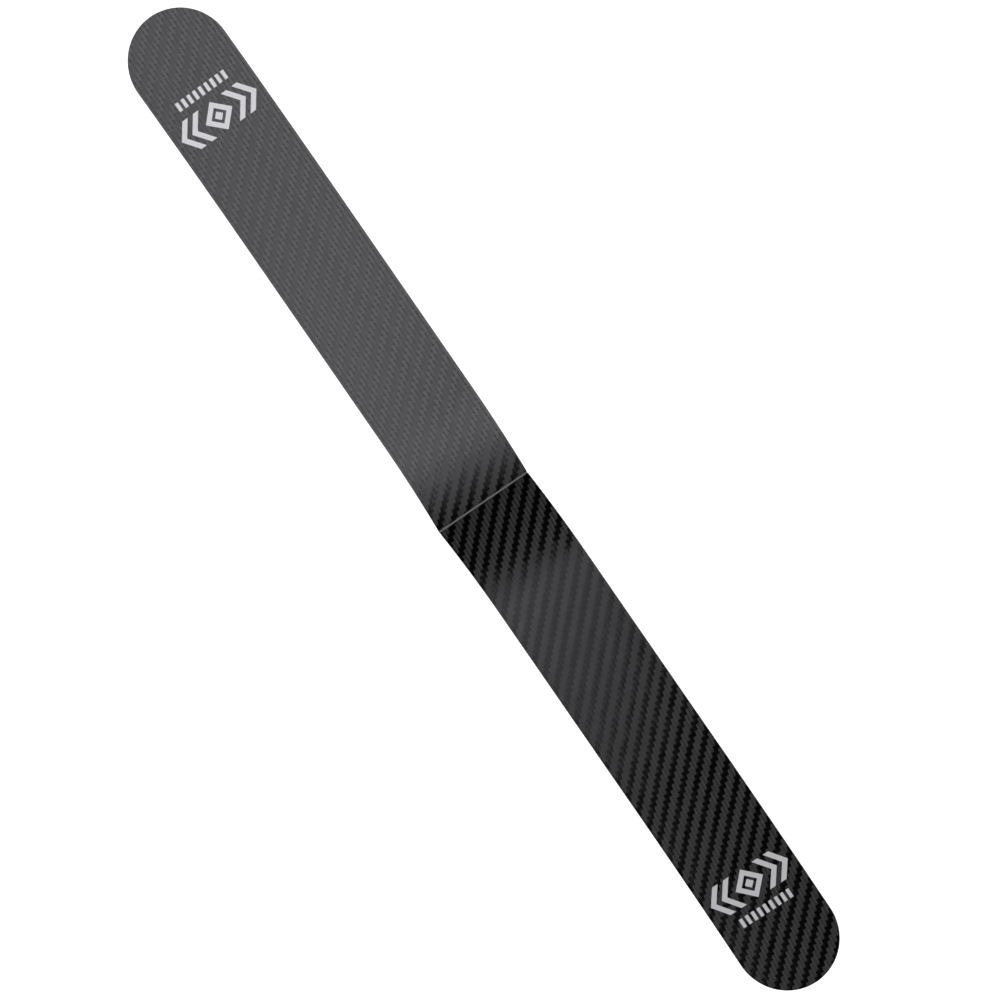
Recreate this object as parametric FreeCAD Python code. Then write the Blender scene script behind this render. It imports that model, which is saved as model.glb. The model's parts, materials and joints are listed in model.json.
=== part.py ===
"""A rim guard strip for a racket head, lying face up as it comes out of its packet.

The strip is a long, round-ended stick-on bumper: an embossed carbon-look face film on a
soft core, a coat of adhesive underneath, and a release liner split at the middle. It was
folded once across its middle, so it lies with a low ridge there and its tips a little up.

Frame: X along the strip, Y across it, +Z up. The origin is on the table, under the fold.
"""
import FreeCAD, Part
import math
import os

V = FreeCAD.Vector

# ---------------------------------------------------------------- driving dimensions, mm
strip_length = 390.0        # tip to tip, measured along the middle of the face film
strip_width = 36.0          # the ends are half circles of this diameter

film_thickness = 0.25       # embossed face film
core_thickness = 0.40       # soft core that takes the knocks
adhesive_thickness = 0.10   # pressure-sensitive adhesive
liner_thickness = 0.15      # release liner
ink_thickness = 0.05        # silver printing on the face film

fold_slope = 18.4           # degrees each half falls away at the ridge
fold_run = 35.0             # length over which a half bends from the ridge to the table
flat_run = 80.0             # length of each half that lies flat on the table
tip_lift = 4.0              # how far each tip curls up off the table

closing_travel = 60.0       # degrees the fold can still close from its rest
closing_clearance = 2.0     # degrees left between the cut edges when it is fully closed
web_proud = 0.095           # the whitened web of film along the fold stands this far out
web_clearance = 0.05        # between the web and the edges of the half that turns on it
liner_clearance = 0.06      # between the adhesive and the liner, which lifts off

emblem_from_tip = 39.5      # the emblem's centre, from the tip
emblem_margin = 2.5         # from the emblem's ends to the strip's long edges
emblem_height = 11.0        # along the strip
diamond_width = 11.0        # across the strip
diamond_stroke = 2.4        # width of the diamond's line, across the strip
diamond_core = 3.4          # width of the small solid diamond in its middle
chevron_stroke = 2.2        # width of a chevron's line, across the strip
chevron_sweep = 4.2         # how far a chevron's point leads its ends
chevron_pitch = 4.4         # from one chevron to the next

bars_from_tip = 29.5        # the row of bars, from the tip
bar_count = 9
bar_length = 3.2            # along the strip
bar_width = 1.25            # across the strip
bar_pitch = 2.35

# ---------------------------------------------------------------- sizes that follow
half_width = strip_width / 2
mid_depth = film_thickness / 2                          # depth of the film's middle
web_radius = mid_depth + web_proud
film_bottom = film_thickness
core_bottom = film_bottom + core_thickness
adhesive_bottom = core_bottom + adhesive_thickness
liner_top = adhesive_bottom + liner_clearance
liner_bottom = liner_top + liner_thickness
mid_height = liner_bottom - mid_depth                   # film's middle, where it lies flat

fold_radius = fold_run / math.radians(fold_slope)
tip_run = strip_length / 2 - fold_run - flat_run
tip_radius = tip_run ** 2 / (2 * tip_lift)
flat_start_x = fold_radius * math.sin(math.radians(fold_slope))
flat_end_x = flat_start_x + flat_run
tip_x = flat_end_x + tip_radius * math.sin(tip_run / tip_radius)
hinge_height = mid_height + fold_radius * (1 - math.cos(math.radians(fold_slope)))

overshoot = 2.0             # how far a raw layer runs past the ridge and tip before trimming
reach = strip_length        # larger than any piece, for the trimming tools


# ---------------------------------------------------------------- profile and layers
def on_fold(depth, angle):
    """A point on the bend next to the ridge; angle is counted back from the flat."""
    radius = fold_radius + depth - mid_depth
    centre_height = mid_height + fold_radius
    return V(flat_start_x - radius * math.sin(angle), 0, centre_height - radius * math.cos(angle))


def on_tip(depth, angle):
    """A point on the upward curl at the tip; angle is counted on from the flat."""
    radius = tip_radius + depth - mid_depth
    centre_height = mid_height + tip_radius
    return V(flat_end_x + radius * math.sin(angle), 0, centre_height - radius * math.cos(angle))


def profile_edges(depth):
    """The strip's side view at one depth: bend, flat and curl, each tangent to the next."""
    fold_end = math.radians(fold_slope) + overshoot / fold_radius
    tip_end = (tip_run + overshoot) / tip_radius
    ridge, bend, foot = (on_fold(depth, fold_end * share) for share in (1.0, 0.5, 0.0))
    heel, curl, tip = (on_tip(depth, tip_end * share) for share in (0.0, 0.5, 1.0))
    return [
        Part.Arc(ridge, bend, foot).toShape(),
        Part.LineSegment(foot, heel).toShape(),
        Part.Arc(heel, curl, tip).toShape(),
    ]


def raw_layer(top_depth, bottom_depth):
    """A band between two depths, a little longer and wider than the strip's outline."""
    upper = profile_edges(top_depth)
    lower = profile_edges(bottom_depth)
    ridge_end = Part.LineSegment(upper[0].firstVertex().Point, lower[0].firstVertex().Point).toShape()
    tip_end = Part.LineSegment(upper[-1].lastVertex().Point, lower[-1].lastVertex().Point).toShape()
    face = Part.Face(Part.Wire(Part.__sortEdges__(upper + [tip_end] + lower + [ridge_end])))
    face.translate(V(0, -half_width - overshoot, 0))
    return face.extrude(V(0, strip_width + 2 * overshoot, 0))


def prism(points, bottom, height):
    """An upright block over a closed outline of (x, y) points."""
    corners = [V(x, y, bottom) for x, y in points]
    return Part.Face(Part.makePolygon(corners + corners[:1])).extrude(V(0, 0, height))


def outline_block():
    """Everything inside the right half's die-cut outline, running a little past the ridge."""
    end_centre_x = tip_x - half_width
    sides = [(-overshoot, -half_width), (end_centre_x, -half_width),
             (end_centre_x, half_width), (-overshoot, half_width)]
    body = prism(sides, -reach / 2, reach)
    end = Part.makeCylinder(half_width, reach, V(end_centre_x, 0, -reach / 2))
    return body.fuse(end)


def right_of_fold(clearance):
    """The space a half may fill: below the hinge it stops short of the plane it folds shut
    against, above it at the middle, and all round the web of film at a clearance."""
    lean = math.radians(closing_travel / 2 + closing_clearance)
    hinge = V(0, -reach / 2, hinge_height)
    up = V(0, 0, reach)
    down = V(math.sin(lean), 0, -math.cos(lean)) * reach
    across = V(reach, 0, 0)
    corners = [hinge + up, hinge, hinge + down, hinge + down + across, hinge + up + across]
    side = Part.Face(Part.makePolygon(corners + corners[:1])).extrude(V(0, reach, 0))
    web = Part.makeCylinder(web_radius + clearance, reach, hinge, V(0, 1, 0))
    return side.cut(web)


def layers(clearance):
    """The four layers of a right-hand half, trimmed to the outline and to the fold."""
    half_space = outline_block().common(right_of_fold(clearance))
    depths = {
        "face_film": (0.0, film_bottom),
        "core": (film_bottom, core_bottom),
        "adhesive": (core_bottom, adhesive_bottom),
        "release_liner": (liner_top, liner_bottom),
    }
    return {name: raw_layer(*depth).common(half_space) for name, depth in depths.items()}


def end_for_end(shape):
    """The left half's copy of a right-hand piece: the strip is the same from either end."""
    return shape.rotated(V(0, 0, 0), V(0, 0, 1), 180)


# ---------------------------------------------------------------- printing
def diamond(width, height):
    """Corner points of a diamond, width across the strip and height along it."""
    return [(-height / 2, 0), (0, width / 2), (height / 2, 0), (0, -width / 2)]


def chevron(start):
    """Corner points of one chevron that points at +Y, its ends at the given y."""
    half = emblem_height / 2
    return [(-half, start), (0, start + chevron_sweep), (half, start),
            (half, start + chevron_stroke), (0, start + chevron_sweep + chevron_stroke),
            (-half, start + chevron_stroke)]


def moved(points, x):
    return [(px + x, py) for px, py in points]


def turned(points):
    """The same outline turned half a turn about the emblem's centre."""
    return [(-px, -py) for px, py in points]


def inked(outlines):
    """Thin solids of ink on the face film over each outline."""
    sheet = raw_layer(-ink_thickness, 0.0)
    return Part.makeCompound([sheet.common(outline) for outline in outlines])


def emblem():
    """An open diamond with a small solid one in it, and two chevrons out to each side."""
    x = tip_x - emblem_from_tip
    slope = emblem_height / diamond_width
    inside = diamond_width - 2 * diamond_stroke
    ring = prism(moved(diamond(diamond_width, emblem_height), x), -reach / 2, reach)
    ring = ring.cut(prism(moved(diamond(inside, inside * slope), x), -reach / 2, reach))
    shapes = [ring, prism(moved(diamond(diamond_core, diamond_core * slope), x), -reach / 2, reach)]
    outer = strip_width / 2 - emblem_margin - chevron_sweep - chevron_stroke
    for start in (outer, outer - chevron_pitch):
        for points in (chevron(start), turned(chevron(start))):
            shapes.append(prism(moved(points, x), -reach / 2, reach))
    return inked(shapes)


def bars():
    """A row of plain bars across the strip, between the emblem and the tip."""
    x = tip_x - bars_from_tip
    first = -bar_pitch * (bar_count - 1) / 2
    shapes = []
    for index in range(bar_count):
        y = first + index * bar_pitch
        corners = [(x - bar_length / 2, y - bar_width / 2), (x + bar_length / 2, y - bar_width / 2),
                   (x + bar_length / 2, y + bar_width / 2), (x - bar_length / 2, y + bar_width / 2)]
        shapes.append(prism(corners, -reach / 2, reach))
    return inked(shapes)


def fold_web():
    """The whitened web of film along the fold, which both halves turn about."""
    return Part.makeCylinder(web_radius, strip_width, V(0, -half_width, hinge_height), V(0, 1, 0))


# ---------------------------------------------------------------- build
printing = {"print_emblem": emblem(), "print_bars": bars()}
right_pieces = layers(web_clearance) | printing
left_pieces = layers(0.0) | printing            # the web is part of the left half, with no gap

nodes = {"fold_line": fold_web()}
nodes |= {name + "_right": shape for name, shape in right_pieces.items()}
nodes |= {name + "_left": end_for_end(shape) for name, shape in left_pieces.items()}

os.makedirs("parts", exist_ok=True)
for name, shape in sorted(nodes.items()):
    shape.exportStep("parts/" + name + ".step")
    box = shape.BoundBox
    print(f"{name:22s} solids {len(shape.Solids)}  valid {shape.isValid()}  volume {shape.Volume:9.3f}"
          f"  x {box.XMin:8.2f} {box.XMax:8.2f}  z {box.ZMin:6.3f} {box.ZMax:6.3f}")
print(f"hinge at z {hinge_height:.4f}, flat from x {flat_start_x:.3f} to {flat_end_x:.3f}, tip at x {tip_x:.3f}")
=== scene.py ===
# %% [markdown]
# # A rim guard strip for a racket head
#
# The object is a stick-on bumper, as it comes out of its packet: a long, round-ended strip
# of embossed, carbon-look film on a soft core, with adhesive and a two-part paper liner
# underneath. It was folded once across the middle, so it lies with a low ridge there.
#
# One painted slab would look right from above, but it could neither fold nor let go of its
# liner. So the lesson builds the strip layer by layer. Every layer follows one curved side
# view, so that curve comes first, and each layer is a flat grid that is then laid onto it.

# %% Load the fixed frame
import json
import math

import bmesh
import bpy
from mathutils import Matrix, Vector, noise


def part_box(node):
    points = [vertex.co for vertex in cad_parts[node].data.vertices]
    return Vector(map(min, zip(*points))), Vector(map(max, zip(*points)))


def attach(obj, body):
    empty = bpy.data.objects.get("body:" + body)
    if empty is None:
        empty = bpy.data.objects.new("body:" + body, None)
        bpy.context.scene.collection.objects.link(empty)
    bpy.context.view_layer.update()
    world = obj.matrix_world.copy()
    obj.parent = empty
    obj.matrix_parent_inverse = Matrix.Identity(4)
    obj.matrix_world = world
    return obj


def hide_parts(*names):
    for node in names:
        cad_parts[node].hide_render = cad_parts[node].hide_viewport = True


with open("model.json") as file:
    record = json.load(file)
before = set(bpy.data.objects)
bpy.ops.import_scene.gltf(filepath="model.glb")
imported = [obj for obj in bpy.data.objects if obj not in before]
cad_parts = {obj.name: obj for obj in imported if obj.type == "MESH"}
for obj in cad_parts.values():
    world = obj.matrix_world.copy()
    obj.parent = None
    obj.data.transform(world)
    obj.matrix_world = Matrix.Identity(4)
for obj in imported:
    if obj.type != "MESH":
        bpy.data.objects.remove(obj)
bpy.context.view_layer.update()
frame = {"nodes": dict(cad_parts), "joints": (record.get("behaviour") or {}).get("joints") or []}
mm = 0.001
print("nodes:", len(frame["nodes"]))

# %% [markdown]
# ## Sizes
#
# The frame says where everything is: the joint gives the height of the fold, and the box of
# the right half's film gives the length and the width. Typing those numbers again would let
# them drift apart from the frame. The layers' depths are the design's own, and depth is
# always counted down from the face of the film.

# %% Sizes taken from the frame
fold_joint = next(joint for joint in frame["joints"] if joint["name"] == "centre_fold")
fold_height = fold_joint["pos_m"][2]
tip_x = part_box("face_film_right")[1].x
half_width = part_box("face_film_right")[1].y
film_thickness = 0.25 * mm
core_thickness = 0.40 * mm
adhesive_thickness = 0.10 * mm
liner_clearance = 0.06 * mm
liner_thickness = 0.15 * mm
ink_thickness = 0.05 * mm
film_middle = film_thickness / 2
core_bottom = film_thickness + core_thickness
adhesive_bottom = core_bottom + adhesive_thickness
liner_top = adhesive_bottom + liner_clearance
liner_bottom = liner_top + liner_thickness
print(f"tip at {tip_x / mm:.1f} mm, half width {half_width / mm:.1f} mm")
print(f"layers {liner_bottom / mm:.2f} mm thick in all")

# %% [markdown]
# ## The side view that every layer follows
#
# Each half drops away from the fold on a bend, lies flat for a while, and curls up a
# little towards its tip. A curve drawn by hand would do, but two arcs and a straight line
# between them, all tangent, make the same shape from a few sizes. A point on the strip is
# named by its run, the distance from the fold measured along the film, so that a pattern
# laid out in run and width never stretches.

# %% Bend, flat and curl
fold_slope = math.radians(18.4)
fold_run = 35.0 * mm
flat_run = 80.0 * mm
tip_run = 80.0 * mm
tip_lift = 4.0 * mm
fold_radius = fold_run / fold_slope
tip_radius = tip_run ** 2 / (2 * tip_lift)
flat_height = liner_bottom - film_middle
flat_start_x = fold_radius * math.sin(fold_slope)
flat_end_x = flat_start_x + flat_run


def on_profile(run, depth):
    """Distance from the fold and height of a point on one half, at a depth under its face."""
    if run < fold_run:
        angle = (fold_run - run) / fold_radius
        radius = fold_radius + depth - film_middle
        return flat_start_x - radius * math.sin(angle), flat_height + fold_radius - radius * math.cos(angle)
    if run < fold_run + flat_run:
        return flat_start_x + run - fold_run, flat_height + film_middle - depth
    angle = (run - fold_run - flat_run) / tip_radius
    radius = tip_radius + depth - film_middle
    return flat_end_x + radius * math.sin(angle), flat_height + tip_radius - radius * math.cos(angle)


print("fold height from the arcs", round((flat_height + fold_radius * (1 - math.cos(fold_slope))) / mm, 4),
      "mm, from the joint", round(fold_height / mm, 4), "mm")

# %% [markdown]
# ## The embossed weave
#
# The film is one vinyl sheet, rolled so that it looks like woven carbon. In a two-by-two
# twill each ribbon of fibre, or tow, passes over two crossing tows and then under two,
# and the next row starts one step along, which makes the diagonal ribs. Counting tows
# along the strip (i) and across it (j), a tow that runs across the strip is on top where
# (i + j) mod 4 is 0 or 1, and a tow that runs along it is on top elsewhere.
#
# Bump in the finish could draw this, but the pillows have real edges that catch the light,
# so they are shape. Each float, the stretch of a tow that lies on top, is a flat-topped
# pillow with steep sides. Grid lines fall on every valley and close beside it, so that a
# coarse grid still draws crisp edges.

# %% Height of the weave
tow = 1.53 * mm
weave_start = 1.5
twill_repeat = 4
float_tows = 2
emboss_depth = 0.06 * mm
side_steepness = 10
end_steepness = 20
lines_in_tow = (0.0, 0.08, 0.16, 0.84, 0.92)


def weave_place(run, y):
    """A place counted in tows along and across the strip. The run is negative on the left."""
    return run / tow + weave_start, y / tow


def float_height(along, across):
    """Height of one float, 0 to 1: along runs 0 to 2 tows, across runs 0 to 1 tow."""
    sides = 1.0 - abs(2.0 * across - 1.0) ** side_steepness
    ends = 1.0 - abs(along - 1.0) ** end_steepness
    return sides * ends


def weave_depth(run, y):
    """How far the embossing lies under the face, at a signed run and a place across."""
    u, v = weave_place(run, y)
    i = math.floor(u)
    j = math.floor(v)
    step = (i + j) % twill_repeat
    if step < float_tows:
        return emboss_depth * (1.0 - float_height(v - j + step, u - i))
    return emboss_depth * (1.0 - float_height(u - i + step - float_tows, v - j))


print("tows across the strip:", round(2 * half_width / tow, 1))

# %% [markdown]
# ## A layer, made flat
#
# The real strip was die-cut flat and bent afterwards. A layer could be drawn on its curve
# straight away, but its round end would be hard to cut there, so it is made in the same
# order as the real one. A flat mesh has the run as its x, the place across as its y, and
# the depth under the face, counted down, as its z. Straight cuts trim its end to a half
# circle, and a slanting cut at the fold makes the notch that lets the strip close without
# its layers running into each other.

# %% Flat grids and cuts
side_sign = {"left": -1.0, "right": 1.0}
web_clearance = {"left": 0.0, "right": 0.05 * mm}
web_proud = 0.095 * mm
web_radius = film_middle + web_proud
notch_opening = math.radians(32.0)
notch_angle = fold_slope + notch_opening
tip_end = fold_run + flat_run + tip_radius * math.asin((tip_x - flat_end_x) / tip_radius)
end_cuts = 60
closest_lines = 0.05 * mm
cut_tolerance = 0.0001 * mm


def flat_grid(start, runs, places, depth):
    """A flat grid with lines at the given runs and places, from a start near the fold."""
    bm = bmesh.new()
    runs = [start] + [run for run in runs if start + closest_lines < run < tip_end] + [tip_end]
    places = [-half_width] + [y for y in places if abs(y) < half_width - closest_lines] + [half_width]
    bmesh.ops.create_grid(bm, x_segments=len(runs) - 1, y_segments=len(places) - 1, size=0.5)
    for vert in bm.verts:
        column = round((vert.co.x + 0.5) * (len(runs) - 1))
        row = round((vert.co.y + 0.5) * (len(places) - 1))
        vert.co = (runs[column], places[row], -depth)
    return bm


def with_rims(faces):
    """Faces with their edges and corners, each once and in a fixed order, as a cut needs them."""
    edges = dict.fromkeys(edge for face in faces for edge in face.edges)
    corners = dict.fromkeys(vert for face in faces for vert in face.verts)
    return faces + list(edges) + list(corners)


def cut_away(bm, point, outward, faces):
    """Cuts some faces along a plane and drops what lies outward of it."""
    bmesh.ops.bisect_plane(bm, geom=with_rims(faces), dist=cut_tolerance, plane_co=point,
                           plane_no=outward, clear_outer=True)


def round_the_end(bm):
    """Straight cuts that touch the end's half circle."""
    centre = Vector((tip_end - half_width, 0.0, 0.0))
    for k in range(end_cuts + 1):
        angle = math.pi * (k / end_cuts - 0.5)
        outward = Vector((math.cos(angle), math.sin(angle), 0.0))
        faces = [face for face in bm.faces if max(v.co.x for v in face.verts) > centre.x]
        cut_away(bm, centre + outward * half_width, outward, faces)


print("end cut into", end_cuts, "flats of", round(math.pi * half_width / end_cuts / mm, 2), "mm")

# %% [markdown]
# ## Laying a flat layer on the strip
#
# A Curve modifier can bend a mesh too, but only as closely as its curve is divided. One
# function carries every vertex of a flat layer to the exact side view instead. Only the
# face film has a relief, and only on top. The mesh keeps a map of where each point lay when
# it was flat, counted in tows, so that a finish can find its place in the weave.

# %% Laying and finishing
face_tolerance = 0.01 * mm


def lay_on_strip(bm, side, relief=None):
    """Bends a flat layer onto one half, with a relief on its face if there is one."""
    weave_map = bm.loops.layers.uv.new("weave")
    sign = side_sign[side]
    flat_place = {vert: weave_place(sign * vert.co.x, vert.co.y) for vert in bm.verts}
    for face in bm.faces:
        for loop in face.loops:
            loop[weave_map].uv = flat_place[loop.vert]
    for vert in bm.verts:
        run, y, depth = vert.co.x, vert.co.y, -vert.co.z
        if relief and depth < face_tolerance:
            depth += relief(sign * run, y)
        x, z = on_profile(run, depth)
        vert.co = (sign * x, y, z)


def finish_piece(bm, name, body, node, material, crisp=40.0):
    """Turns a bmesh into a piece that rides on a body and stands for a node.
    Edges that turn by more than crisp degrees stay sharp, and the rest are smooth."""
    bmesh.ops.recalc_face_normals(bm, faces=bm.faces)
    for face in bm.faces:
        face.smooth = True
    for edge in bm.edges:
        edge.smooth = len(edge.link_faces) != 2 or edge.calc_face_angle() < math.radians(crisp)
    mesh = bpy.data.meshes.new(name)
    bm.to_mesh(mesh)
    bm.free()
    piece = bpy.data.objects.new(name, mesh)
    bpy.context.scene.collection.objects.link(piece)
    mesh.materials.append(material)
    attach(piece, body)
    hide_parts(node)
    mesh.calc_loop_triangles()
    print(f"{name}: {len(mesh.vertices)} vertices, {len(mesh.loop_triangles)} triangles")


# %% [markdown]
# ## Writing finishes as sums
#
# A finish is a graph of nodes, and most of its nodes are arithmetic. Wiring those by hand
# hides the sum, so a small class stands for a wire and turns plus, times and the rest into
# Math nodes. Every other node comes from one method, which sets the node up and then feeds
# its sockets with numbers, colours or wires.

# %% Wires
class Wire:
    """The output of a node. Arithmetic on it adds Math nodes."""

    def __init__(self, graph, socket):
        self.graph = graph
        self.socket = socket

    def math(self, operation, *others):
        return self.graph.node("ShaderNodeMath", {"operation": operation}, dict(enumerate((self, *others))))

    def __add__(self, other):
        return self.math("ADD", other)

    __radd__ = __add__

    def __sub__(self, other):
        return self.math("SUBTRACT", other)

    def __rsub__(self, other):
        return self.graph.node("ShaderNodeMath", {"operation": "SUBTRACT"}, {0: other, 1: self})

    def __mul__(self, other):
        return self.math("MULTIPLY", other)

    __rmul__ = __mul__

    def __lt__(self, other):
        return self.math("LESS_THAN", other)


# %% Graphs
class Graph:
    """A node tree, with one way to add any node and short names for the common ones."""

    def __init__(self, tree):
        self.tree = tree

    def feed(self, socket, value):
        if isinstance(value, Wire):
            self.tree.links.new(value.socket, socket)
        else:
            socket.default_value = value

    def node(self, kind, settings=None, sockets=None, output=0):
        made = self.tree.nodes.new(kind)
        for name, value in (settings or {}).items():
            if name == "stops":
                self.set_stops(made.color_ramp, value)
            else:
                setattr(made, name, value)
        for name, value in (sockets or {}).items():
            self.feed(made.inputs[name], value)
        return Wire(self, made.outputs[output])

    def set_stops(self, ramp, stops):
        while len(ramp.elements) < len(stops):
            ramp.elements.new(0.5)
        for element, (place, colour) in zip(ramp.elements, stops):
            element.position = place
            element.color = colour

    def first_two(self, vector):
        """The first two numbers in a vector."""
        split = self.node("ShaderNodeSeparateXYZ", sockets={0: vector})
        return [Wire(self, output) for output in split.socket.node.outputs[:2]]

    def own_place(self):
        """A point's place on its own piece, in metres."""
        return self.node("ShaderNodeTexCoord", output="Object")

    def mottle(self, place, scale, detail=3.0):
        """Soft noise between 0 and 1."""
        return self.node("ShaderNodeTexNoise", sockets={"Vector": place, "Scale": scale, "Detail": detail})

    def bump(self, height, distance, strength):
        """A normal that follows a height."""
        sockets = {"Strength": strength, "Distance": distance, "Height": height}
        return self.node("ShaderNodeBump", sockets=sockets)

    def blend(self, factor, a, b):
        """Mixes two numbers."""
        return self.node("ShaderNodeMix", {"data_type": "FLOAT"}, {0: factor, 2: a, 3: b})

    def blend_colour(self, factor, a, b):
        """Mixes two colours."""
        return self.node("ShaderNodeMix", {"data_type": "RGBA"}, {0: factor, 6: a, 7: b}, output=2)


# %% Finishes
class Finish(Graph):
    """A material built round one Principled shader."""

    def __init__(self, name, **constants):
        self.material = bpy.data.materials.new(name)
        self.material.use_nodes = True
        super().__init__(self.material.node_tree)
        self.shader = self.tree.nodes["Principled BSDF"]
        self.shade(**constants)
        print("finish:", name)

    def shade(self, **values):
        """Feeds numbers, colours or wires to the shader's own sockets."""
        for socket, value in values.items():
            self.feed(self.shader.inputs[socket.replace("_", " ")], value)


def grey(level):
    """An even grey of a given brightness, as a colour."""
    return (level, level, level, 1.0)


# %% [markdown]
# ## The face film's finish
#
# Black vinyl with two textures. Floats that run across the strip are smooth, with hardly
# visible threads, so they mirror: grey where they face the overhead light and black
# elsewhere. Floats that run along the strip carry a fine grid, finer than the mesh can show,
# which scatters light from everywhere and keeps them grey from any side. The grid's dips are
# painted darker than its crowns, as painted shade. That is why the weave fades out on one
# half and stands out on the other.
#
# Two materials on the cells would need a seam at every float. One material that works out
# from the weave map which float a point is on needs none. Each tow also gets its own small
# change of gloss, because no two stretches of the roller are worn quite alike.

# %% Carbon-look film
threads_per_tow = 3.0
grid_height = 0.01 * mm
grid_lean = 0.12
smooth_share = 0.12
waviness = 8.0
wave_scale = 0.22
# Colour in the grid's dips: painted shade, darker than the vinyl's grey on the crowns.
thread_dip_painted_shade = grey(0.002)
thread_crown = grey(0.036)
smooth_black = grey(0.0007)
textured_roughness = 0.22
textured_change = 0.05
smooth_roughness = 0.09
smooth_change = 0.03
seed_step_along = 2.11
seed_step_across = 1.37
seed_gap = 100.0


def film_finish():
    finish = Finish("carbon look film", IOR=1.5)
    place = finish.node("ShaderNodeUVMap", {"uv_map": "weave"})
    u, v = finish.first_two(place)
    i = u.math("FLOOR")
    j = v.math("FLOOR")
    smooth = (i + j).math("FLOORED_MODULO", float(twill_repeat)) < float_tows - 0.5
    waves = []
    for across in (u, v - u * grid_lean):
        from_middle = (across * threads_per_tow).math("FRACT") * 2.0 - 1.0
        waves.append(1.0 - from_middle * from_middle)
    grid = waves[0].math("MAXIMUM", waves[1])
    grid = grid * grid * grid
    cloud = finish.mottle(place, wave_scale, detail=2.0)
    height = finish.blend(smooth, grid, waves[0] * smooth_share) + cloud * waviness
    tow_number = finish.blend(smooth, j * seed_step_along, i * seed_step_across + seed_gap)
    tow_seed = finish.node("ShaderNodeTexWhiteNoise", {"noise_dimensions": "1D"}, {"W": tow_number})
    textured_gloss = textured_roughness + tow_seed * textured_change
    smooth_gloss = smooth_roughness + tow_seed * smooth_change + cloud * smooth_change
    # Base colour follows the grid's height, with painted shade in its dips.
    threads = finish.blend_colour(grid, thread_dip_painted_shade, thread_crown)
    finish.shade(
        Base_Color=finish.blend_colour(smooth, threads, smooth_black),
        Roughness=finish.blend(smooth, textured_gloss, smooth_gloss),
        Normal=finish.bump(height, grid_height, strength=1.0),
    )
    return finish.material


film_material = film_finish()

# %% [markdown]
# ## The two halves of the face film
#
# The face shows real relief, so its grid has five lines to every tow both ways. A solid
# grid with as many lines underneath would double the mesh for a side that is never seen.
# So the rim is extruded down instead and closed with one flat face, and that face is cut
# into short lengths so that it can bend with the strip.

# %% Embossed film
under_lengths = 65


def embossed_film(side):
    count = math.ceil(tip_end / tow)
    lines = [(k + share) * tow for k in range(-count, count) for share in lines_in_tow]
    bm = flat_grid(web_radius + web_clearance[side], lines, lines, 0.0)
    round_the_end(bm)
    rim = [edge for edge in bm.edges if edge.is_boundary]
    made = bmesh.ops.extrude_edge_only(bm, edges=rim)["geom"]
    lower = [item for item in made if isinstance(item, bmesh.types.BMVert)]
    bmesh.ops.translate(bm, verts=lower, vec=(0.0, 0.0, -film_thickness))
    open_rim = [edge for edge in bm.edges if edge.is_boundary]
    under = bmesh.ops.contextual_create(bm, geom=open_rim)["faces"]
    for k in range(1, under_lengths):
        cut = bmesh.ops.bisect_plane(bm, geom=with_rims(under), dist=cut_tolerance,
                                     plane_co=(tip_end * k / under_lengths, 0.0, 0.0),
                                     plane_no=(1.0, 0.0, 0.0))
        under = [item for item in cut["geom"] if isinstance(item, bmesh.types.BMFace)]
    lay_on_strip(bm, side, relief=weave_depth)
    finish_piece(bm, f"embossed_film_{side}", f"half_{side}", f"face_film_{side}",
                 film_material, crisp=3.0)


for side in side_sign:
    embossed_film(side)

# %% [markdown]
# ## Finishes of the layers underneath
#
# The core is black rubbery foam, the adhesive a clear coat with a yellow cast that was
# spread lengthwise, and the liner cream paper ruled every ten millimetres. Flat colours
# would pass at a distance, but a peeled liner shows all three close up, so each gets what
# its own making leaves on it: cells, streaks, and fibres with ruled lines.

# %% Foam, adhesive and paper
foam_dark = (0.012, 0.012, 0.013, 1.0)
foam_light = (0.03, 0.03, 0.031, 1.0)
foam_cells_per_metre = 9000.0
foam_cell_depth = 0.03 * mm
adhesive_dark = (0.42, 0.4, 0.34, 1.0)
adhesive_light = (0.55, 0.53, 0.46, 1.0)
adhesive_roughness = 0.15
adhesive_change = 0.2
streak_scale = (40.0, 900.0, 900.0)
streak_depth = 0.02 * mm
paper_dark = (0.66, 0.62, 0.5, 1.0)
paper_light = (0.78, 0.75, 0.66, 1.0)
paper_roughness = 0.42
paper_change = 0.25
fibres_per_metre = 1400.0
fibre_depth = 0.01 * mm
ruling_colour = (0.32, 0.36, 0.42, 1.0)
rulings_per_metre = 100.0
ruling_share = 0.018
ruling_strength = 0.7


def core_finish():
    finish = Finish("soft core", Roughness=0.75, IOR=1.45)
    sockets = {"Vector": finish.own_place(), "Scale": foam_cells_per_metre}
    cells = finish.node("ShaderNodeTexVoronoi", sockets=sockets)
    finish.shade(
        Base_Color=finish.blend_colour(cells, foam_dark, foam_light),
        Normal=finish.bump(cells, foam_cell_depth, strength=0.6),
    )
    return finish.material


def adhesive_finish():
    finish = Finish("clear adhesive", IOR=1.47)
    sockets = {"Vector": finish.own_place(), "Scale": streak_scale}
    flow = finish.mottle(finish.node("ShaderNodeMapping", sockets=sockets), scale=1.0)
    finish.shade(
        Base_Color=finish.blend_colour(flow, adhesive_dark, adhesive_light),
        Roughness=adhesive_roughness + flow * adhesive_change,
        Normal=finish.bump(flow, streak_depth, strength=0.4),
    )
    return finish.material


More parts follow.
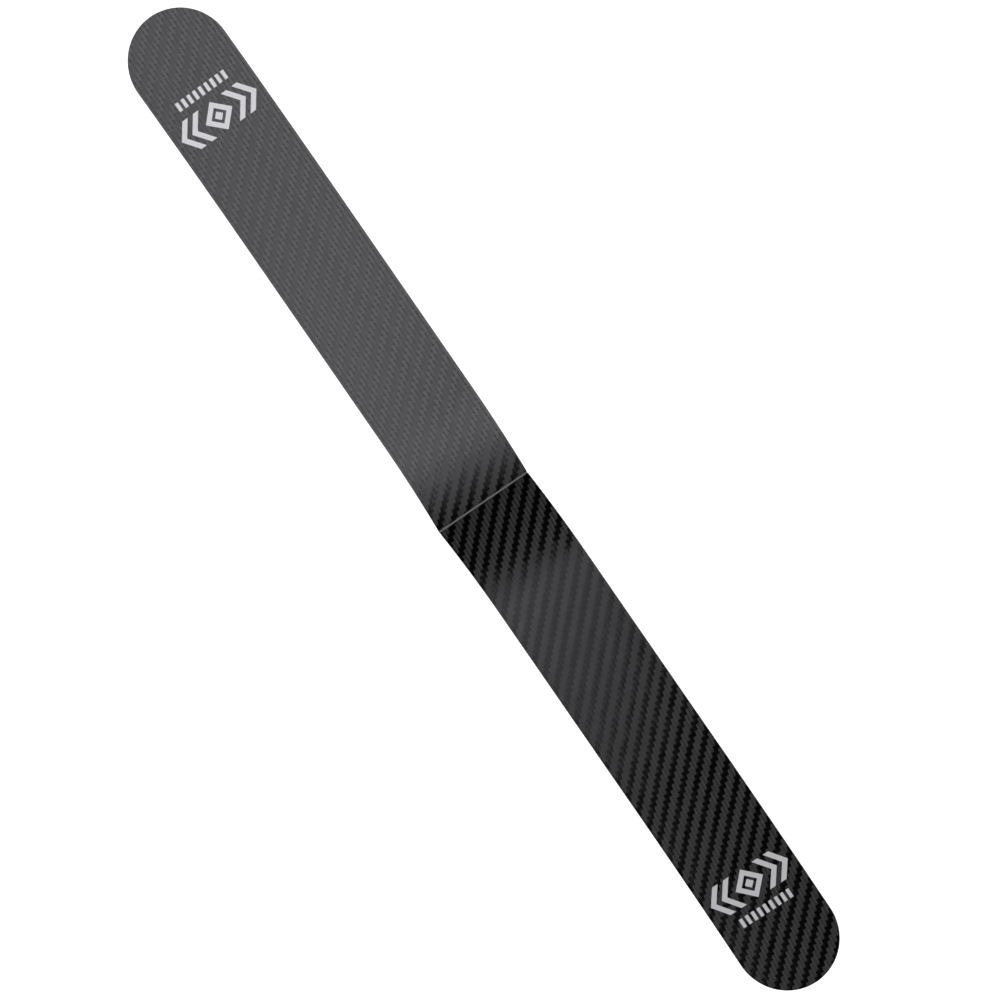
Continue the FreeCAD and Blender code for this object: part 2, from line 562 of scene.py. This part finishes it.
def liner_finish():
    finish = Finish("release paper", IOR=1.45)
    place = finish.own_place()
    from_line = [(axis * rulings_per_metre + 0.5).math("FRACT") - 0.5 for axis in finish.first_two(place)]
    lines = [gap.math("ABSOLUTE") < ruling_share for gap in from_line]
    ruling = lines[0].math("MAXIMUM", lines[1]) * ruling_strength
    fibres = finish.mottle(place, fibres_per_metre, detail=4.0)
    paper = finish.blend_colour(fibres, paper_dark, paper_light)
    finish.shade(
        Base_Color=finish.blend_colour(ruling, paper, ruling_colour),
        Roughness=paper_roughness + fibres * paper_change,
        Normal=finish.bump(fibres, fibre_depth, strength=0.5),
    )
    return finish.material


core_material = core_finish()
adhesive_material = adhesive_finish()
liner_material = liner_finish()

# %% [markdown]
# ## The layers under the film
#
# The core's die-cut edge is a little rounded. The adhesive is a thin coat and the liner is
# paper, so both keep square edges. All six could be plain outlines with a Solidify
# modifier, but the notch at the fold has to be cut through their thickness. So each is a
# grid that is extruded down, cut at the notch, and beveled round its rim where it is soft.

# %% Plain layers
layer_step = 1.5 * mm
layer_count = math.ceil(tip_end / layer_step)
layer_lines = [k * layer_step for k in range(-layer_count, layer_count + 1)]
rim_turn = math.radians(60.0)
core_rounding = 0.08 * mm


def plain_layer(name, side, body, node, material, top_depth, bottom_depth, rounding=0.0):
    """One layer of a half: a grid with a thickness, and its rim rounded if asked."""
    bm = flat_grid(web_radius + web_clearance[side], layer_lines, layer_lines, top_depth)
    round_the_end(bm)
    made = bmesh.ops.extrude_face_region(bm, geom=bm.faces[:])["geom"]
    lower = [item for item in made if isinstance(item, bmesh.types.BMVert)]
    bmesh.ops.translate(bm, verts=lower, vec=(0.0, 0.0, top_depth - bottom_depth))
    into_notch = Vector((-math.cos(notch_angle), 0.0, -math.sin(notch_angle)))
    cut_away(bm, Vector((0.0, 0.0, -film_middle)), into_notch, bm.faces[:])
    bmesh.ops.holes_fill(bm, edges=[edge for edge in bm.edges if edge.is_boundary])
    if rounding:
        rim = [edge for edge in bm.edges if edge.calc_face_angle(0.0) > rim_turn]
        bmesh.ops.bevel(bm, geom=rim, offset=rounding, offset_type="OFFSET", affect="EDGES",
                        segments=2, profile=0.5, material=-1, clamp_overlap=True)
    lay_on_strip(bm, side)
    finish_piece(bm, f"{name}_{side}", f"{body}_{side}", f"{node}_{side}", material)


for side in side_sign:
    plain_layer("soft_core", side, "half", "core", core_material,
                film_thickness, core_bottom, rounding=core_rounding)
    plain_layer("adhesive_coat", side, "half", "adhesive", adhesive_material,
                core_bottom, adhesive_bottom)
    plain_layer("liner_paper", side, "liner", "release_liner", liner_material,
                liner_top, liner_bottom)

# %% [markdown]
# ## The printed marks
#
# Each end carries a mark in silver ink. They are plain ones here: a diamond between
# chevrons, and a row of bars. The ink has a thickness, and a mark painted into the film's
# finish would have none, so the marks are pieces of their own. Each starts as a few
# four-sided outlines, drawn once and used at both ends.

# %% Outlines of the marks
emblem_run = tip_end - 39.5 * mm
bars_run = tip_end - 29.5 * mm
emblem_half = 5.5 * mm
diamond_half = 5.5 * mm
diamond_stroke = 2.4 * mm
diamond_core_half = 1.7 * mm
chevron_stroke = 2.2 * mm
chevron_sweep = 4.2 * mm
chevron_pitch = 4.4 * mm
emblem_margin = 2.5 * mm
bar_count = 9
bar_length = 3.2 * mm
bar_width = 1.25 * mm
bar_pitch = 2.35 * mm


def diamond(half_across):
    """The four corners of a diamond, which is as tall as the emblem for its width."""
    half_along = half_across * emblem_half / diamond_half
    return [(-half_along, 0.0), (0.0, half_across), (half_along, 0.0), (0.0, -half_across)]


def emblem_outlines():
    """Four sides of an open diamond, the small diamond in it, and two chevrons each side."""
    outer = diamond(diamond_half)
    inner = diamond(diamond_half - diamond_stroke)
    quads = [[outer[k], outer[(k + 1) % 4], inner[(k + 1) % 4], inner[k]] for k in range(4)]
    quads.append(diamond(diamond_core_half))
    furthest = half_width - emblem_margin - chevron_sweep - chevron_stroke
    for way in (1.0, -1.0):
        for start in (furthest, furthest - chevron_pitch):
            for end in (-emblem_half, emblem_half):
                point = start + chevron_sweep
                corners = [(end, start), (0.0, point),
                           (0.0, point + chevron_stroke), (end, start + chevron_stroke)]
                quads.append([(x, way * y) for x, y in corners])
    return quads


def bar_outlines():
    """Bars in a row across the strip."""
    quads = []
    for index in range(bar_count):
        y = (index - (bar_count - 1) / 2) * bar_pitch
        quads.append([(-bar_length / 2, y - bar_width / 2), (bar_length / 2, y - bar_width / 2),
                      (bar_length / 2, y + bar_width / 2), (-bar_length / 2, y + bar_width / 2)])
    return quads


print("outlines in an emblem:", len(emblem_outlines()), "bars:", len(bar_outlines()))

# %% [markdown]
# ## Silver ink on the weave
#
# Screen ink with metal flakes: half of its light comes back like metal and half like paint,
# so it is brightest where it mirrors the overhead light and still pale elsewhere. A fine
# mottle shows the mesh of the screen.
#
# A flat mark would float over the film or sink into it. So its outlines are cut into small
# cells, and every vertex is put on the same embossed surface. Wet ink fills the valleys, so
# its own face follows only a part of the relief.

# %% Ink finish and pieces
ink_sag = 0.3
ink_above = 0.6 * ink_thickness
ink_below = 0.2 * ink_thickness
ink_dark = (0.78, 0.78, 0.79, 1.0)
ink_light = (0.94, 0.94, 0.95, 1.0)
ink_roughness = 0.42
ink_change = 0.2
screen_threads_per_metre = 1800.0
screen_depth = 0.01 * mm
same_corner = 0.001 * mm
emblem_cuts = 19
bar_cuts = 9


def ink_finish():
    finish = Finish("silver ink", Metallic=0.5)
    mottle = finish.mottle(finish.own_place(), screen_threads_per_metre)
    finish.shade(
        Base_Color=finish.blend_colour(mottle, ink_dark, ink_light),
        Roughness=ink_roughness + mottle * ink_change,
        Normal=finish.bump(mottle, screen_depth, strength=0.5),
    )
    return finish.material


ink_material = ink_finish()


def printed_mark(name, side, outlines, centre_run, node, cuts):
    bm = bmesh.new()
    for corners in outlines:
        bm.faces.new([bm.verts.new((x, y, 0.0)) for x, y in corners])
    bmesh.ops.remove_doubles(bm, verts=bm.verts, dist=same_corner)
    bmesh.ops.subdivide_edges(bm, edges=bm.edges, cuts=cuts, use_grid_fill=True)
    made = bmesh.ops.extrude_face_region(bm, geom=bm.faces[:])["geom"]
    upper = {item for item in made if isinstance(item, bmesh.types.BMVert)}
    for vert in bm.verts:
        run = centre_run + vert.co.x
        y = vert.co.y
        depth = weave_depth(side_sign[side] * run, y)
        depth = depth * ink_sag - ink_above if vert in upper else depth + ink_below
        x, z = on_profile(run, depth)
        vert.co = (side_sign[side] * x, y, z)
    finish_piece(bm, f"{name}_{side}", f"half_{side}", f"{node}_{side}", ink_material)


for side in side_sign:
    printed_mark("emblem_ink", side, emblem_outlines(), emblem_run, "print_emblem", emblem_cuts)
    printed_mark("bars_ink", side, bar_outlines(), bars_run, "print_bars", bar_cuts)

# %% [markdown]
# ## The fold line
#
# Where the film was folded it has stretched round a tight ridge, in a thin web that both
# halves turn about. The light that ridge catches is painted on as a pale grey, a painted
# highlight. A pale stripe on the film would tear open as the strip folds, and a round bar
# looks the same at any angle. It starts as a cone with two equal ends. Cut into short
# lengths, its rings are swollen and pinched by a smooth noise, as stretched vinyl is.

# %% Web with a painted highlight
# The web's pale grey, flecked by a noise, is a painted highlight along the fold's ridge.
fold_highlight_stops = [(0.3, (0.06, 0.06, 0.062, 1.0)), (0.6, grey(0.24))]
web_sides = 16
web_lengths = 180
web_fill = 0.9
swell_share = 0.07
swell_length = 2.2 * mm
swell_slice = 0.3
pinch_share = 0.03
pinch_length = 0.5 * mm
pinch_girth = 0.3 * mm
pinch_slice = 4.0
web_roughness = 0.45
web_change = 0.25
specks_per_metre = 2600.0


def fold_highlight_finish():
    finish = Finish("vinyl with painted fold highlight", IOR=1.5)
    specks = finish.mottle(finish.own_place(), specks_per_metre)
    # Pale base colour: the painted highlight of the fold.
    stress = finish.node("ShaderNodeValToRGB", {"stops": fold_highlight_stops}, {0: specks})
    finish.shade(Base_Color=stress, Roughness=web_roughness + specks * web_change)
    return finish.material


def fold_web():
    bm = bmesh.new()
    bmesh.ops.create_cone(bm, cap_ends=True, segments=web_sides, radius1=web_radius,
                          radius2=web_radius, depth=2.0 * half_width)
    lengthwise = [edge for edge in bm.edges if abs(edge.verts[0].co.z - edge.verts[1].co.z) > half_width]
    bmesh.ops.subdivide_edges(bm, edges=lengthwise, cuts=web_lengths - 1)
    bmesh.ops.rotate(bm, verts=bm.verts, matrix=Matrix.Rotation(math.radians(90.0), 3, "X"))
    for vert in bm.verts:
        swell = noise.noise(Vector((vert.co.y / swell_length, swell_slice, 0.0)))
        pinch = noise.noise(Vector((vert.co.y / pinch_length, vert.co.x / pinch_girth, pinch_slice)))
        size = web_fill + swell_share * swell + pinch_share * pinch
        vert.co = (vert.co.x * size, vert.co.y, vert.co.z * size + fold_height)
    finish_piece(bm, "fold_with_painted_highlight", "half_left", "fold_line", fold_highlight_finish(), crisp=70.0)


fold_web()

# %% [markdown]
# ## Floor
#
# A pale, plain floor. It lies well below the strip rather than touching it, because the
# left half stays where it is when the strip closes, and the right half and a peeled liner
# then swing below the level that the strip lies on. It glows a little, so that it comes out
# as one even white.

# %% A floor that nothing sinks into
floor_drop = 250.0 * mm
floor_reach = 6.0


def make_floor():
    finish = Finish("pale floor", Base_Color=grey(0.8), Roughness=0.9,
                    Emission_Color=grey(1.0), Emission_Strength=1.0)
    bm = bmesh.new()
    bmesh.ops.create_grid(bm, x_segments=1, y_segments=1, size=floor_reach)
    bmesh.ops.translate(bm, verts=bm.verts, vec=(0.0, 0.0, -floor_drop))
    mesh = bpy.data.meshes.new("floor")
    bm.to_mesh(mesh)
    bm.free()
    floor = bpy.data.objects.new("floor", mesh)
    bpy.context.scene.collection.objects.link(floor)
    mesh.materials.append(finish.material)


make_floor()

# %% [markdown]
# ## Lights
#
# Satin film shows its shape by what it mirrors, so one even light would make the two halves
# look alike. A soft light hangs overhead, in bands that lie aslant of the strip. The widest
# and brightest band stands over the left half and the fold, so the left half is an even
# grey. The band to the right of it is dimmer: it gives the right half a grey patch with a
# slanting edge, past which the film falls off to black. The slope right of the fold mirrors
# the dark beyond the bands. Two long lights low at the sides reach mostly the textured
# floats, and keep the weave visible in those dark stretches.

# %% Overhead bands and side lights
light_slant = math.radians(42.0)
overhead_height = 0.6
overhead_length = 0.5
overhead_y = -0.117
overhead_colour = (0.985, 0.975, 1.04)
overhead_bands = [
    ("fading", -0.38, -0.30, 0.5),
    ("left", -0.30, -0.22, 1.7),
    ("main", -0.22, 0.01, 2.75),
    ("right", 0.01, 0.14, 1.0),
]
white_light = (1.0, 1.0, 1.0)
side_distance = 0.9
side_height = 0.5
side_size = (1.2, 0.4)
side_radiance = 3.0


def soft_light(name, place, aim, size, radiance, colour, turn):
    """A rectangular light of a given brightness, whatever its size, turned in its own plane."""
    data = bpy.data.lights.new(name, "AREA")
    data.shape = "RECTANGLE"
    data.size, data.size_y = size
    data.energy = radiance * math.pi * size[0] * size[1]
    data.color = colour
    light = bpy.data.objects.new(name, data)
    light.location = place
    facing = (Vector(place) - Vector(aim)).to_track_quat("Z", "Y").to_matrix()
    light.rotation_euler = (facing @ Matrix.Rotation(turn, 3, "Z")).to_euler()
    bpy.context.scene.collection.objects.link(light)
    print(f"light {name}: {size[0]:.2f} by {size[1]:.2f} m, radiance {radiance}")


for name, start, end, radiance in overhead_bands:
    middle = (start + end) / 2
    width = (end - start) * math.cos(light_slant)
    soft_light(f"overhead_{name}", (middle, overhead_y, overhead_height), (middle, overhead_y, 0.0),
               (width, overhead_length), radiance, overhead_colour, light_slant)
for name, way in (("near_side", -1.0), ("far_side", 1.0)):
    soft_light(name, (0.0, way * side_distance, side_height), (0.0, 0.0, 0.0),
               side_size, side_radiance, white_light, 0.0)

# %% [markdown]
# ## The room
#
# A white room would wash out the dark stretches of the film, and a dark one would show
# behind the strip in a low view. The room is therefore pale only where it is looked at
# directly. Everything that mirrors it finds it nearly dark.

# %% A room that is dark to the film
room_glow = 0.02
studio = bpy.data.worlds.new("studio")
studio.use_nodes = True
room = Graph(studio.node_tree)
looked_at = room.node("ShaderNodeLightPath", output="Is Camera Ray")
background = studio.node_tree.nodes["Background"]
room.feed(background.inputs["Color"], grey(1.0))
room.feed(background.inputs["Strength"], looked_at * (1.0 - room_glow) + room_glow)
bpy.context.scene.world = studio
bpy.context.scene.view_settings.view_transform = "Standard"
print("the film sees", room_glow, "of the room's white")

# %% [markdown]
# ## Camera
#
# The camera looks almost straight down, a few degrees off the vertical, and it is turned so
# that the strip lies from corner to corner. Aiming a camera with Euler angles takes trial
# and error, so its three axes are worked out from two small leans and one turn.

# %% Camera over the strip
lean_along = math.radians(-1.2)
lean_across = math.radians(11.0)
turn_in_view = math.radians(54.95)
distance = 1.2
focal_length = 130.2
nearest_seen = 0.05
look_at = Vector((2.7 * mm, 4.3 * mm, 2.0 * mm))
towards = Vector((math.sin(lean_along), math.sin(lean_across), 0.0))
towards.z = math.sqrt(1.0 - towards.length_squared)
up_hint = Vector((-math.sin(turn_in_view), math.cos(turn_in_view), 0.0))
right_of_view = up_hint.cross(towards).normalized()
up_in_view = towards.cross(right_of_view)
camera_data = bpy.data.cameras.new("camera")
camera_data.lens = focal_length
camera_data.clip_start = nearest_seen
camera = bpy.data.objects.new("camera", camera_data)
camera.matrix_world = Matrix.Translation(look_at + distance * towards) @ Matrix(
    (right_of_view, up_in_view, towards)).transposed().to_4x4()
bpy.context.scene.collection.objects.link(camera)
bpy.context.scene.camera = camera
print(f"camera {distance} m away, lens {focal_length} mm")
